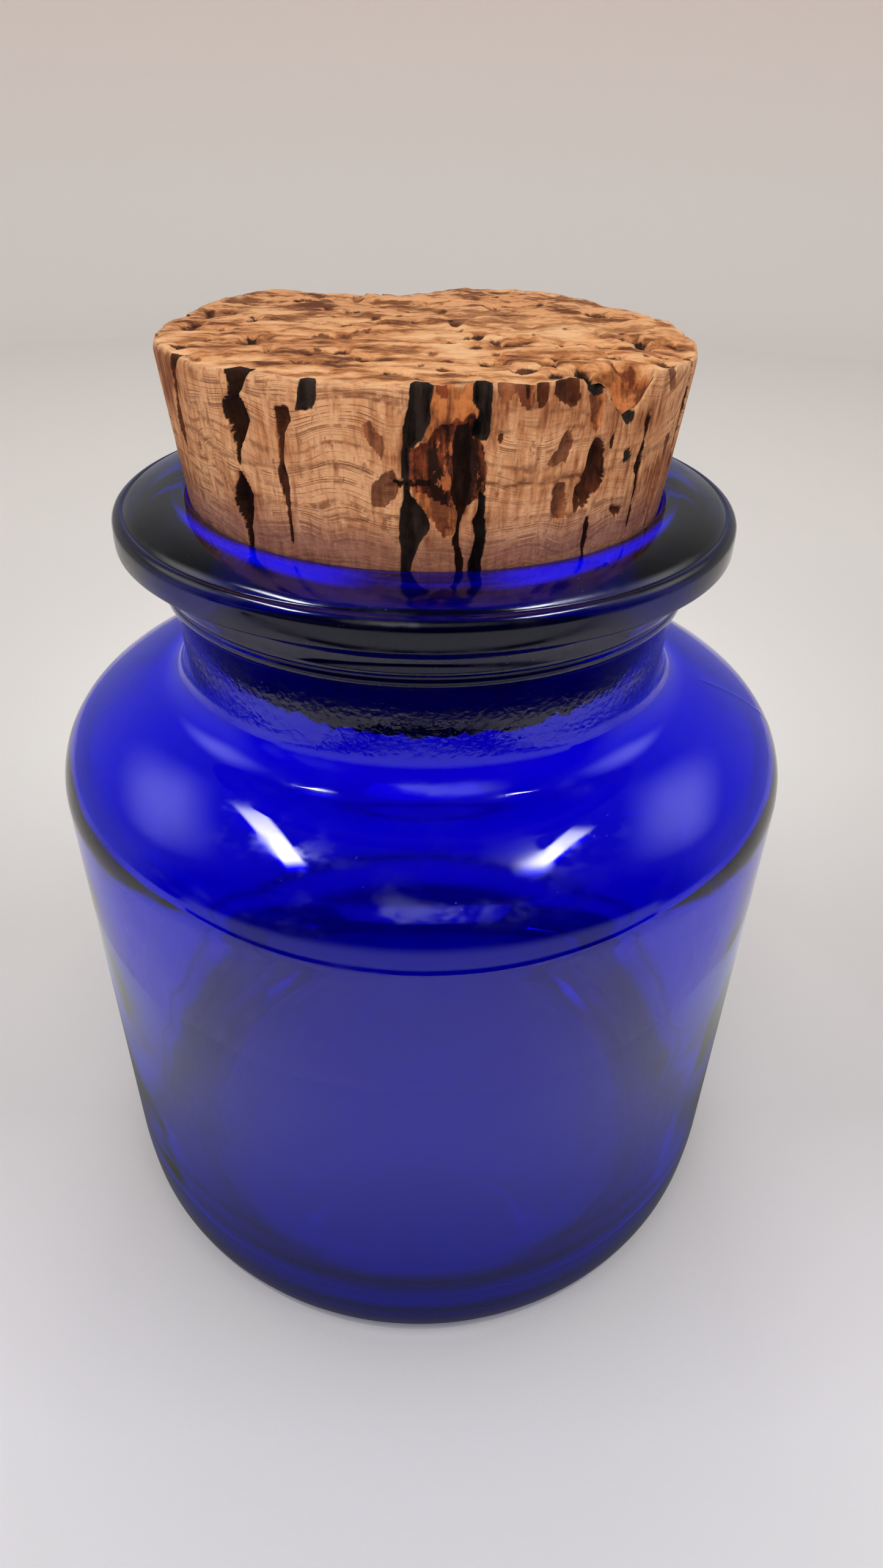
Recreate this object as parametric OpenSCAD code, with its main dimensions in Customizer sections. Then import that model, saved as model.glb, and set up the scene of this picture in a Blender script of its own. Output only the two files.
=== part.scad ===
// Wide-mouthed cobalt-blue storage jar with a natural cork stopper.
// The jar is one pressed-and-blown piece of glass: a thick pushed-up base, a
// straight body, a round shoulder, a short neck and a flat flange round the
// mouth. The stopper is one tapered plug cut from a single plank of cork bark,
// so its pores run straight up through it.
// The origin is the centre of the ring that the jar stands on, +Z up. -Y is the
// front, the side with the split pore and the crumbled corner of the cork.

/* [Body] */
// Outside diameter of the straight body
body_d = 100; // [90:1:110]
// Height at which the straight wall ends and the shoulder starts
wall_top_z = 84.25; // [76:0.25:86]
// Thickness of the wall in the body, shoulder and neck
wall_t = 3.4; // [2.8:0.1:3.8]
// Radius of the gentle upper part of the heel
heel_upper_r = 21; // [14:0.5:24]
// Radius of the tighter lower part of the heel, down to the standing ring
heel_lower_r = 8; // [5:0.5:9]
// Angle below level at which one heel curve passes into the other
heel_split_a = 30; // [20:1:40]

/* [Base] */
// Thickness of the glass over the standing ring
base_t = 7; // [5:0.5:10]
// Width of the flat ring that the jar stands on
stand_ring_w = 4; // [2:0.5:6]
// Height of the push-up in the middle of the base
push_up_h = 2.6; // [1.5:0.1:3.5]
// Radius of the inside corner between floor and wall
floor_corner_r = 12; // [8:0.5:16]

/* [Shoulder] */
// Radius of the tight outer curve of the shoulder
shoulder_outer_r = 8.5; // [6:0.25:10]
// Radius of the flatter curve that carries on to the neck
shoulder_top_r = 28; // [20:1:32]
// Angle above level at which the tight curve passes into the flat one
shoulder_split_a = 55; // [45:1:60]
// Radius of the hollow curve between shoulder and neck
neck_fillet_r = 5; // [3:0.25:6]

/* [Neck] */
// Outside diameter at the narrowest part of the neck
neck_d = 64.3; // [62:0.1:66]
// Height at which the neck starts to widen towards the flange
neck_flare_z = 103; // [101:0.25:105]
// Outside diameter of the two smooth bands under the flange
band_d = 67.2; // [66:0.1:69]
// Depth of the fine mould line between the bands
mould_line_t = 0.25; // [0.1:0.05:0.4]
// Height of the lower edge of the lower band
band_low_z = 109.7; // [108:0.1:110.5]
// Height of the mould line between the bands
band_mid_z = 111.1; // [110.8:0.1:112]

/* [Flange] */
// Outside diameter of the flange
flange_d = 76.8; // [72:0.2:82]
// Height of the lower edge of the flange
flange_low_z = 116.2; // [115:0.1:117]
// Height of the fine line round the outer part of the flange's top
flange_line_z = 119.9; // [119:0.1:121]
// How far the fine line lies inside the flange's edge
flange_line_in = 1.25; // [0.8:0.05:2]
// Width of the flat under the flange, outside the hollow cove
flange_flat_w = 1; // [0.6:0.1:2]
// Radius of the flange's lower edge
flange_edge_r = 0.4; // [0.2:0.1:0.5]
// Height of the highest ring of the flange, beside the mouth
lip_top_z = 121.3; // [120.5:0.1:122.5]

/* [Mouth] */
// Diameter of the bore at the top of the neck
mouth_d = 58.2; // [58:0.1:60]
// Radius of the rounded edge of the mouth
mouth_edge_r = 2; // [1:0.1:2.5]

/* [Cork] */
// Height of the underside of the cork when it is pushed in
cork_low_z = 100; // [98:0.5:104]
// Length of the cork, which is the thickness of the bark it is cut from
cork_l = 39.5; // [34:0.5:46]
// Diameter of the cork's upper end
cork_top_d = 62.2; // [60:0.2:64]
// Diameter of the cork's lower end
cork_low_d = 53.4; // [50:0.2:54]
// Width of the broken edge at both ends of the cork
cork_edge_t = 0.5; // [0.2:0.1:1]
// Angle by which the cork's top falls towards the back
cork_top_a = 1.1; // [0:0.1:3]
// Radius of the crumbled corner
crumble_r = 8; // [4:0.5:10]
// Angle of the crumbled corner from the front, towards the right
crumble_a = 44; // [30:1:60]
// Radius of the hollow along the back edge of the top
back_hollow_r = 60; // [50:1:80]
// Depth of that hollow
back_hollow_t = 1.2; // [0.5:0.1:2]
// Width of that hollow, in from the back edge
back_hollow_w = 9; // [4:0.5:12]
// Depth of the pores that open on the cork's side
side_pore_t = 1.4; // [0.5:0.1:2]
// Depth of the pores that open on the cork's top
top_pore_t = 0.9; // [0.4:0.1:1.5]

/* [Hidden] */

$fn = 96;
glass_blue = [0.07, 0.07, 0.62, 0.75];
bark_tan = [0.78, 0.56, 0.38];

body_r = body_d / 2;
neck_r = neck_d / 2;
band_r = band_d / 2;
flange_r = flange_d / 2;
mouth_r = mouth_d / 2;

// Points of an arc about c, from angle a0 to a1, both ends included.
function arc(c, r, a0, a1, n = 10) =
    [for (i = [0 : n]) let (a = a0 + (a1 - a0) * i / n) c + r * [cos(a), sin(a)]];

// Heel: two arcs that meet with one tangent. The upper one is tangent to the
// wall, and the lower one is tangent to the plane that the jar stands on.
heel_dir = [cos(heel_split_a), -sin(heel_split_a)];
heel_upper_c = [body_r - heel_upper_r,
    heel_lower_r + (heel_upper_r - heel_lower_r) * sin(heel_split_a)];
heel_lower_c = heel_upper_c + (heel_upper_r - heel_lower_r) * heel_dir;
stand_r = heel_lower_c[0];

// Shoulder: a tight arc, a flatter arc with the same tangent, then a hollow
// fillet that ends upright on the neck.
shoulder_dir = [cos(shoulder_split_a), sin(shoulder_split_a)];
shoulder_outer_c = [body_r - shoulder_outer_r, wall_top_z];
shoulder_top_c = shoulder_outer_c - (shoulder_top_r - shoulder_outer_r) * shoulder_dir;
fillet_a = acos((neck_r + neck_fillet_r - shoulder_top_c[0]) / (shoulder_top_r + neck_fillet_r));
fillet_c = shoulder_top_c + (shoulder_top_r + neck_fillet_r) * [cos(fillet_a), sin(fillet_a)];

// Neck flare: a hollow arc, upright at its foot, that reaches the lower band.
flare_h = band_low_z - neck_flare_z;
flare_w = band_r - mould_line_t - neck_r;
flare_r = (flare_h * flare_h + flare_w * flare_w) / (2 * flare_w);
flare_a = asin(flare_h / flare_r);

// Flange: a hollow cove under it, an upright edge, a rounded upper corner and
// a low dome that rises from the fine line to the mouth.
cove_r = flange_r - band_r - flange_flat_w;
band_top_z = flange_low_z - cove_r;
flange_line_r = flange_r - flange_line_in;
dome_top_r = mouth_r + mouth_edge_r;
dome_w = flange_line_r - dome_top_r;
dome_h = lip_top_z - flange_line_z;
dome_r = (dome_w * dome_w + dome_h * dome_h) / (2 * dome_h);
dome_a = asin(dome_w / dome_r);

// The fine line itself: a step this wide and this deep.
line_w = 0.3;
line_t = 0.12;

outer_profile = concat(
    arc(heel_lower_c, heel_lower_r, -90, -heel_split_a, 8),
    arc(heel_upper_c, heel_upper_r, -heel_split_a, 0, 8),
    arc(shoulder_outer_c, shoulder_outer_r, 0, shoulder_split_a, 10),
    arc(shoulder_top_c, shoulder_top_r, shoulder_split_a, fillet_a, 6),
    arc(fillet_c, neck_fillet_r, fillet_a + 180, 180, 8),
    arc([neck_r + flare_r, neck_flare_z], flare_r, 180, 180 - flare_a, 8),
    [
        [band_r, band_low_z + mould_line_t],
        [band_r, band_mid_z - mould_line_t],
        [band_r - mould_line_t, band_mid_z],
        [band_r, band_mid_z + mould_line_t],
        [band_r, band_top_z],
    ],
    arc([band_r + cove_r, band_top_z], cove_r, 180, 90, 6),
    arc([flange_r - flange_edge_r, flange_low_z + flange_edge_r], flange_edge_r, -90, 0, 3),
    arc([flange_r - flange_line_in, flange_line_z - flange_line_in], flange_line_in, 0, 90, 6),
    [
        [flange_line_r - line_w / 2, flange_line_z - line_t],
        [flange_line_r - line_w, flange_line_z + line_t / 2],
    ],
    [for (p = arc([dome_top_r, lip_top_z - dome_r], dome_r, 90 - dome_a, 90, 8))
        if (p[0] < flange_line_r - 2 * line_w) p]
);

// Inside: the rounded mouth, the bore, then the outer curves set in by the
// wall's thickness, the corner and a floor that rises half as far as the push-up.
inner_wall_r = body_r - wall_t;
floor_rise = push_up_h / 2;
floor_flat_r = inner_wall_r - floor_corner_r;
floor_dome_r = (floor_flat_r * floor_flat_r + floor_rise * floor_rise) / (2 * floor_rise);
floor_dome_a = asin(floor_flat_r / floor_dome_r);

inner_profile = concat(
    arc([dome_top_r, lip_top_z - mouth_edge_r], mouth_edge_r, 90, 180, 8),
    arc(fillet_c, neck_fillet_r + wall_t, 180, fillet_a + 180, 8),
    arc(shoulder_top_c, shoulder_top_r - wall_t, fillet_a, shoulder_split_a, 6),
    arc(shoulder_outer_c, shoulder_outer_r - wall_t, shoulder_split_a, 0, 8),
    arc([floor_flat_r, base_t + floor_corner_r], floor_corner_r, 0, -90, 10),
    [for (p = arc([0, base_t + floor_rise - floor_dome_r], floor_dome_r, 90 - floor_dome_a, 90, 8))
        if (p[0] < floor_flat_r - 0.1) p]
);

// Underside: the push-up and the flat ring round it.
push_up_r = stand_r - stand_ring_w;
push_up_dome_r = (push_up_r * push_up_r + push_up_h * push_up_h) / (2 * push_up_h);
push_up_a = asin(push_up_r / push_up_dome_r);
under_profile = arc([0, push_up_h - push_up_dome_r], push_up_dome_r, 90, 90 - push_up_a, 8);

// The cork's radius at a height above its lower end.
function cork_r(h) = (cork_low_d + (cork_top_d - cork_low_d) * h / cork_l) / 2;

// Pores that open on the side: [angle from the front, width, lowest, highest].
side_pores = [
    [-59, 1.2, 28, 38], [-38, 3.6, 32, 37], [-39.5, 3.2, 23, 29], [-28, 1.8, 26, 36],
    [-21, 2.2, 36.5, 42], [-2, 2.6, 34, 42], [-3, 2.2, 12, 30], [9.7, 1.8, 34.5, 42],
    [10.5, 1.6, 12, 28.5], [6.5, 1.6, 8, 35], [25, 2.8, 37, 42], [34, 2.6, 27, 33],
    [35, 0.8, 14, 25], [43, 2.4, 24.5, 25.8], [48, 1.4, 22, 34.5], [96, 2.6, 4, 42],
    [131, 1.6, 15, 36], [160, 3.8, 20, 42], [194, 2.0, 5, 30], [228, 3.2, 14, 42],
    [256, 1.4, 10, 33],
];

// Pores that open on the top: [x, y, length, radius].
top_pores = [
    [-26, 0, 4, 1.4], [-18.5, -9, 4, 1.4], [-16, -13, 3, 1.2], [-10, -7, 5, 1.1],
    [-9, -15, 3, 1.1], [-6.5, -18, 3, 1.1], [-3.5, -24.5, 4, 1.1], [6.5, -19, 3, 1.4],
    [5, -8, 7, 1.3], [8, -4.5, 3, 1.1], [12, -20, 3, 1.4], [14, -9, 4, 1.5],
    [18.5, -10.5, 4, 1.4], [23.5, -5, 4, 1.7], [18, 8, 6, 1.4], [4, 14, 8, 1.2],
    [-14, 12, 7, 1.3], [13, 19, 7, 1.3], [-5, 22, 7, 1.1],
];

module glass_jar() {
    color(glass_blue)
        rotate_extrude()
            polygon(concat(under_profile, outer_profile, inner_profile));
}

module cork_plug() {
    straight_l = cork_l - 2 * cork_edge_t;
    rotate_extrude()
        polygon([
            [0, 0],
            [cork_r(cork_edge_t) - cork_edge_t, 0],
            [cork_r(cork_edge_t), cork_edge_t],
            [cork_r(cork_edge_t + straight_l), cork_edge_t + straight_l],
            [cork_r(cork_l) - cork_edge_t, cork_l],
            [0, cork_l],
        ]);
}

// An upright slot with round flanks, sunk into the cork's side.
module side_pore(angle, w, low, high) {
    lean = atan((cork_top_d - cork_low_d) / 2 / cork_l);
    rotate([0, 0, angle])
        translate([0, -cork_r(low) + side_pore_t - w / 2, low])
            rotate([lean, 0, 0])
                cylinder(h = high - low, d = w);
}

// A lying capsule, sunk into the cork's top along the grain.
module top_pore(x, y, l, r) {
    translate([x - l / 2, y, cork_l + r - top_pore_t]) {
        rotate([0, 90, 0])
            cylinder(h = l, r = r);
        sphere(r = r);
        translate([l, 0, 0])
            sphere(r = r);
    }
}

module crumbled_corner() {
    rotate([0, 0, crumble_a])
        translate([0, -cork_top_d / 2 - crumble_r / 3, cork_l + crumble_r / 3])
            sphere(r = crumble_r);
}

module back_hollow() {
    translate([-cork_top_d / 16, cork_top_d / 2 - back_hollow_w, cork_l + back_hollow_r - back_hollow_t])
        rotate([-90, 0, 0])
            cylinder(h = 2 * back_hollow_w, r = back_hollow_r);
}

// Everything above the top, with the top's pores and hollow: a block that turns
// about the front edge.
module above_top() {
    front = cork_top_d / 2 - cork_edge_t;
    translate([0, -front, cork_l])
        rotate([-cork_top_a, 0, 0])
            translate([0, front, -cork_l]) {
                translate([-cork_top_d, -cork_top_d, cork_l])
                    cube([2 * cork_top_d, 2 * cork_top_d, cork_l]);
                for (p = top_pores)
                    top_pore(p[0], p[1], p[2], p[3]);
                back_hollow();
            }
}

module cork_stopper() {
    color(bark_tan)
        translate([0, 0, cork_low_z])
            difference() {
                cork_plug();
                for (p = side_pores)
                    side_pore(p[0], p[1], p[2], p[3]);
                above_top();
                crumbled_corner();
            }
}

glass_jar();
cork_stopper();
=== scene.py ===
"""A cobalt-blue glass jar with a natural cork stopper, standing on a pale sweep.

The jar's glass is turned from the profile of the CAD node, with the mould's
marks added. The cork is built from its side and its two ends, with its pores,
growth lines and crumbled corner carved in. Lengths in the data below are in
millimetres, angles in degrees from the front, positive to the right.
"""

import math

import bpy
import numpy as np
from mathutils import Matrix, Vector


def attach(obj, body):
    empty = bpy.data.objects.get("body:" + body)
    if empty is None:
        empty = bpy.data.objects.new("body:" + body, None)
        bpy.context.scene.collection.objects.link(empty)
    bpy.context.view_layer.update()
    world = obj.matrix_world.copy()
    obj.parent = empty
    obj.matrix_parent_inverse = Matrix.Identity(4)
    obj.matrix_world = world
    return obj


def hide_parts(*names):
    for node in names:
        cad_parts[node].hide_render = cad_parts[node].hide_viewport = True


MM = 0.001

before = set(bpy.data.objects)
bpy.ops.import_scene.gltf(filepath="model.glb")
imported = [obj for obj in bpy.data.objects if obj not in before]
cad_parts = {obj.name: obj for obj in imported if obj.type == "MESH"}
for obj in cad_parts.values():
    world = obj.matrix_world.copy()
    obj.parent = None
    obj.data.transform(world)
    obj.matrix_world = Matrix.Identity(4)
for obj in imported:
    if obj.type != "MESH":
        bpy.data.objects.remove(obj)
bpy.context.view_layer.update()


# ---- helpers


def smooth(low, high, x):
    """0 below low, 1 above high, and an S between them."""
    t = np.clip((x - low) / (high - low), 0.0, 1.0)
    return t * t * (3.0 - 2.0 * t)


def lattice(ix, iy, iz, seed):
    """A number from 0 to 1 for each whole-number point, the same on each run."""
    n = ix * 73856093 ^ iy * 19349663 ^ iz * 83492791 ^ (seed + 1) * 2654435761
    n = n & 0xFFFFFFFF
    n = (n ^ (n >> 15)) * 2246822519 & 0xFFFFFFFF
    n = (n ^ (n >> 13)) * 3266489917 & 0xFFFFFFFF
    return (n ^ (n >> 16)) / 4294967295.0


def noise(points, size, seed=0):
    """Smooth noise from -1 to 1 at each point, with lumps about size across."""
    p = np.asarray(points, float) / size
    base = np.floor(p).astype(np.int64)
    f = p - base
    f = f * f * (3.0 - 2.0 * f)
    total = np.zeros(p.shape[:-1])
    for corner in range(8):
        step = np.array([corner & 1, corner >> 1 & 1, corner >> 2 & 1])
        weight = np.prod(np.where(step, f, 1.0 - f), axis=-1)
        at = base + step
        total += weight * lattice(at[..., 0], at[..., 1], at[..., 2], seed)
    return 2.0 * total - 1.0


def rough(points, size, seed=0, octaves=3):
    """Noise with finer noise on it, each octave half the size and half as strong."""
    total, strength = 0.0, 1.0
    for octave in range(octaves):
        total = total + strength * noise(points, size / 2**octave, seed + 17 * octave)
        strength *= 0.5
    return total


def srgb(r, g, b):
    """A linear colour from 8-bit display values."""
    return [((c / 255 + 0.055) / 1.055) ** 2.4 if c > 10 else c / 255 / 12.92 for c in (r, g, b)] + [1.0]


def in_scene(name, data):
    """An object of the scene with that data."""
    obj = bpy.data.objects.new(name, data)
    bpy.context.scene.collection.objects.link(obj)
    return obj


def make_object(name, verts, faces):
    """A smooth-shaded mesh object. verts are in metres."""
    mesh = bpy.data.meshes.new(name)
    mesh.from_pydata(np.asarray(verts, float).tolist(), [], faces)
    mesh.validate()
    mesh.shade_smooth()
    return in_scene(name, mesh)


def set_attribute(obj, name, values):
    """One number per vertex, for the material to read."""
    layer = obj.data.attributes.new(name, "FLOAT", "POINT")
    layer.data.foreach_set("value", np.asarray(values, np.float32))


def wrapped(angle):
    """The same angle, from -180 to 180."""
    return (angle + 180) % 360 - 180


def around(r, z, a):
    """Places from radius, height and angle in radians."""
    return np.stack(np.broadcast_arrays(r * np.sin(a), -r * np.cos(a), z), -1)


def ring_faces(rows, columns):
    """Quads between rows of a closed ring, first row outermost in the list."""
    faces = []
    for i in range(rows - 1):
        for j in range(columns):
            k = (j + 1) % columns
            faces.append((i * columns + j, i * columns + k, (i + 1) * columns + k, (i + 1) * columns + j))
    return faces


# ---- node helpers


class Nodes:
    """A node tree, built with short calls."""

    def __init__(self, tree):
        self.tree = tree

    def add(self, kind, inputs=(), **settings):
        """A shader node. inputs maps a socket's name or number to a value or to another socket."""
        made = self.tree.nodes.new("ShaderNode" + kind)
        for key, value in settings.items():
            setattr(made, key, value)
        for key, value in dict(inputs).items():
            if isinstance(value, bpy.types.NodeSocket):
                self.tree.links.new(value, made.inputs[key])
            else:
                made.inputs[key].default_value = value
        return made

    def where(self, scale=(1, 1, 1)):
        """The place on the object, in metres times scale."""
        place = self.add("TexCoord").outputs["Object"]
        return self.add("Mapping", {"Vector": place, "Scale": scale}).outputs[0]

    def part(self, vector, axis):
        """One number of a vector."""
        return self.add("SeparateXYZ", {0: vector}).outputs[axis]

    def radius(self):
        """How far each place is from the jar's axis, in metres."""
        flat = self.where((1, 1, 0))
        return self.add("VectorMath", {0: flat}, operation="LENGTH").outputs["Value"]

    def noise(self, vector, scale, detail=3.0, roughness=0.5):
        inputs = {"Vector": vector, "Scale": scale, "Detail": detail, "Roughness": roughness}
        return self.add("TexNoise", inputs).outputs["Fac"]

    def math(self, operation, a, b=0.0):
        return self.add("Math", {0: a, 1: b}, operation=operation).outputs[0]

    def times(self, a, b):
        return self.math("MULTIPLY", a, b)

    def plus(self, a, b):
        return self.math("ADD", a, b)

    def span(self, value, low, high, to_low=0.0, to_high=1.0):
        """value from low..high to to_low..to_high, smoothly, and clamped."""
        inputs = {"Value": value, 1: low, 2: high, 3: to_low, 4: to_high}
        return self.add("MapRange", inputs, interpolation_type="SMOOTHSTEP").outputs[0]

    def mix(self, factor, a, b):
        return self.add("Mix", {0: factor, 6: a, 7: b}, data_type="RGBA").outputs[2]

    def ramp(self, value, stops):
        """A colour ramp with stops of (place, display colour)."""
        made = self.add("ValToRGB", {0: value})
        while len(made.color_ramp.elements) < len(stops):
            made.color_ramp.elements.new(0.5)
        for element, (place, colour) in zip(made.color_ramp.elements, stops):
            element.position = place
            element.color = srgb(*colour)
        return made.outputs[0]

    def mask(self, name):
        """A number that the mesh holds at each vertex."""
        return self.add("Attribute", attribute_name=name).outputs["Fac"]

    def bump(self, height, distance, normal=None, strength=1.0):
        inputs = {"Height": height, "Distance": distance, "Strength": strength}
        if normal is not None:
            inputs["Normal"] = normal
        return self.add("Bump", inputs).outputs[0]


class Shader(Nodes):
    """A material's node tree."""

    def __init__(self, name):
        self.material = bpy.data.materials.new(name)
        self.material.use_nodes = True
        super().__init__(self.material.node_tree)
        self.tree.nodes.clear()
        self.out = self.add("OutputMaterial")

    def glowing(self, strength):
        return self.finish(self.add("Emission", {"Strength": strength}))

    def finish(self, surface):
        """Makes a node the material's surface, and gives the material back."""
        self.tree.links.new(surface.outputs[0], self.out.inputs["Surface"])
        return self.material


# ---- camera

# Fitted to the photo: place, angles in degrees and focal length in mm on a 36 mm frame.
CAMERA_AT = Vector((0, -0.124, 0.161))
CAMERA_PITCH = 34.9
CAMERA_YAW = 1.03
CAMERA_ROLL = 0.46
LENS = 22.77
SENSOR = 36.0


def make_camera():
    """The camera that took the photo, close to the jar and looking down."""
    data = bpy.data.cameras.new("camera")
    data.lens = LENS
    data.sensor_width = SENSOR
    data.clip_start = 0.01
    camera = in_scene("camera", data)
    turn = (
        Matrix.Rotation(math.radians(90 - CAMERA_PITCH), 4, "X")
        @ Matrix.Rotation(math.radians(-CAMERA_YAW), 4, "Y")
        @ Matrix.Rotation(math.radians(CAMERA_ROLL), 4, "Z")
    )
    camera.matrix_world = Matrix.Translation(CAMERA_AT) @ turn
    bpy.context.scene.camera = camera


# ---- stage and lights

FLOOR_R = 0.75
SWEEP_R = 0.35
SWEEP_TOP = 0.9

# The floor's colour along Y, with painted light: lightest in front of the jar, darker beside and just behind
# it, and lighter again further back. How far along, from FLOOR_NEAR to FLOOR_NEAR + FLOOR_RUN, and the
# colour.
FLOOR_NEAR = -0.06
FLOOR_RUN = 0.36
FLOOR_LIGHT_STOPS = [
    (0, (234, 234, 238)), (0.16, (206, 204, 204)), (0.3, (206, 204, 202)),
    (0.5, (218, 217, 215)), (1, (230, 228, 225)),
]
WALL_COLOUR = srgb(226, 214, 208)
# Painted light: the floor under the jar is whiter, seen only through the glass.
LIGHT_UNDER_JAR = srgb(252, 252, 254)

# Painted reflections, which only gloss shows: a card in front of the jar with one glowing band, and a glowing
# ring on the floor round it, dim by the jar.
CARD_X, CARD_Y, CARD_TOP = 0.3, -0.155, 0.6
CARD_GLOW = 0.6
REFLECTION_RING = [(r, 0.0003) for r in (0.049, 0.07, 0.1)]


def stage_material():
    """Pale paper with painted light: lighter in front of the jar, and whiter under it, where only the light
    inside the glass shows it.
    """
    s = Shader("pale_paper")
    place = s.where()
    along = s.math("DIVIDE", s.plus(s.part(place, "Y"), -FLOOR_NEAR), FLOOR_RUN)
    tone = s.mix(s.span(s.part(place, "Z"), 0, 0.3), s.ramp(along, FLOOR_LIGHT_STOPS), WALL_COLOUR)
    tone = s.mix(s.span(s.radius(), 0.047, 0.042), tone, LIGHT_UNDER_JAR)
    bump = s.bump(s.noise(place, 900, 4), 0.0001, strength=0.3)
    inputs = {"Base Color": tone, "Roughness": 0.85, "Normal": bump}
    return s.finish(s.add("BsdfPrincipled", inputs))


def turned_sheet(name, profile, columns=96):
    """A sheet of paper turned about the jar's axis, from (radius, height) points."""
    turns = 2 * math.pi * np.arange(columns) / columns
    verts = [(r * math.sin(t), r * math.cos(t), z) for r, z in profile for t in turns]
    sheet = make_object(name, verts, ring_faces(len(profile), columns))
    sheet.data.materials.append(bpy.data.materials.get("pale_paper") or stage_material())
    return sheet


def make_stage():
    """A pale floor that curves up into a wall all round, well away from the jar."""
    turned_sheet("stage_floor", [(0.00001, 0.0), (0.1, 0.0), (0.3, 0.0), (FLOOR_R, 0.0)])
    bend = [math.radians(a) for a in range(0, 91, 6)]
    curve = [(FLOOR_R + SWEEP_R * math.sin(a), SWEEP_R * (1 - math.cos(a))) for a in bend]
    wall = turned_sheet("stage_wall", curve + [(FLOOR_R + SWEEP_R, SWEEP_TOP)])
    wall.visible_glossy = False
    make_shade()


def gloss_only(sheet, material):
    """Makes a sheet something that only the glass's gloss shows."""
    sheet.data.materials.clear()
    sheet.data.materials.append(material)
    for kind in ("camera", "diffuse", "transmission", "shadow"):
        setattr(sheet, "visible_" + kind, False)


def make_shade():
    """Painted reflections for the glass to mirror: a dark card in front with one glowing band, and a glowing
    ring on the floor by the jar, dim near it.
    """
    corners = ((-CARD_X, 0), (CARD_X, 0), (CARD_X, CARD_TOP), (-CARD_X, CARD_TOP))
    card = make_object("stage_shade", [(x, CARD_Y, z) for x, z in corners], [(0, 1, 2, 3)])
    s = Shader("shade")
    height = s.part(s.where(), "Z")
    band = s.times(s.span(height, 0.02, 0.032), s.span(height, 0.105, 0.07))
    gloss_only(card, s.glowing(s.times(band, CARD_GLOW)))
    ring = turned_sheet("stage_painted_reflection", REFLECTION_RING)
    s = Shader("painted_reflection_ring")
    gloss_only(ring, s.glowing(s.span(s.radius(), 0.053, 0.098, 0.12, 0.66)))


def toward(elevation, azimuth):
    """The unit vector at that elevation and azimuth, which is 0 at the front and 90 at the right."""
    e, a = math.radians(elevation), math.radians(azimuth)
    return Vector((math.cos(e) * math.sin(a), -math.cos(e) * math.cos(a), math.sin(e)))


# The place that lamps face unless they are aimed elsewhere, in the middle of the shoulder.
SHOULDER = Vector((0, 0, 0.093))
# The two bright strips: their near and far ends.
STRIPS = {
    "left": (Vector((-0.147, -0.068, 0.413)), Vector((-0.182, 0.122, 0.415))),
    "right": (Vector((0.118, -0.071, 0.413)), Vector((0.175, 0.062, 0.414))),
}
STRIP_W = 0.036
STRIP_RADIANCE = 42.0
# The two soft panels at the sides: azimuth, elevations of the two ends, distance.
PANEL_TURN = 108
PANEL_RISE = (54, 24)
PANEL_AWAY = 0.45
PANEL_W = 0.34
PANEL_RADIANCE = 1.5
# Level lamps for what is matt: centre, half length, width, radiance and the place aimed at.
MATT_LAMPS = {
    "key": (toward(57, 0) * 0.7, 0.22, 0.3, 5.3, None),
    "back": (Vector((0, 0.36, 0.42)), 0.22, 0.3, 0.8, None),
    "behind": (Vector((0, 0.16, 0.12)), 0.05, 0.06, 4.6, Vector((0, 0.085, 0))),
    "wall": (Vector((0, 0.3, 0.8)), 0.6, 0.3, 2.2, Vector((0, 1.18, 0.33))),
}
EVEN_LIGHT = (0.445, 0.43, 0.42, 1)


def soft_panel(data, edge, far_end):
    """Makes a lamp fade toward its edges, over that share of it, and toward its far end."""
    data.use_nodes = True
    nodes = Nodes(data.node_tree)
    place = nodes.add("NewGeometry").outputs["Parametric"]
    parts = nodes.add("SeparateXYZ", {0: place})
    folds = [nodes.math("PINGPONG", parts.outputs[axis], 0.5) for axis in ("X", "Y")]
    edges = nodes.times(*[nodes.span(fold, 0, edge / 2) for fold in folds])
    slope = nodes.add("MapRange", {0: parts.outputs["X"], 3: 1.0, 4: far_end}).outputs[0]
    strength = nodes.times(edges, slope)
    nodes.tree.links.new(strength, nodes.tree.nodes["Emission"].inputs["Strength"])


def area_light(name, high, low, width, radiance, shines=True, edge=0.0, aim=None, far_end=1.0):
    """A lamp panel between two points, facing the jar's shoulder or the place it is aimed at.

    A lamp that shines is only seen in gloss, and the others only light what is matt.
    """
    centre = (high + low) / 2
    z = (centre - (aim or SHOULDER)).normalized()
    x = (high - low).normalized()
    y = z.cross(x).normalized()
    x = y.cross(z)
    data = bpy.data.lights.new(name, "AREA")
    data.shape = "RECTANGLE"
    data.size = (high - low).length
    data.size_y = width
    data.energy = radiance * math.pi * data.size * width
    if edge:
        soft_panel(data, edge, far_end)
    lamp = in_scene(name, data)
    lamp.matrix_world = Matrix.Translation(centre) @ Matrix((x, y, z)).transposed().to_4x4()
    lamp.visible_camera = False
    lamp.visible_glossy = shines
    lamp.visible_diffuse = not shines
    return lamp


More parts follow.
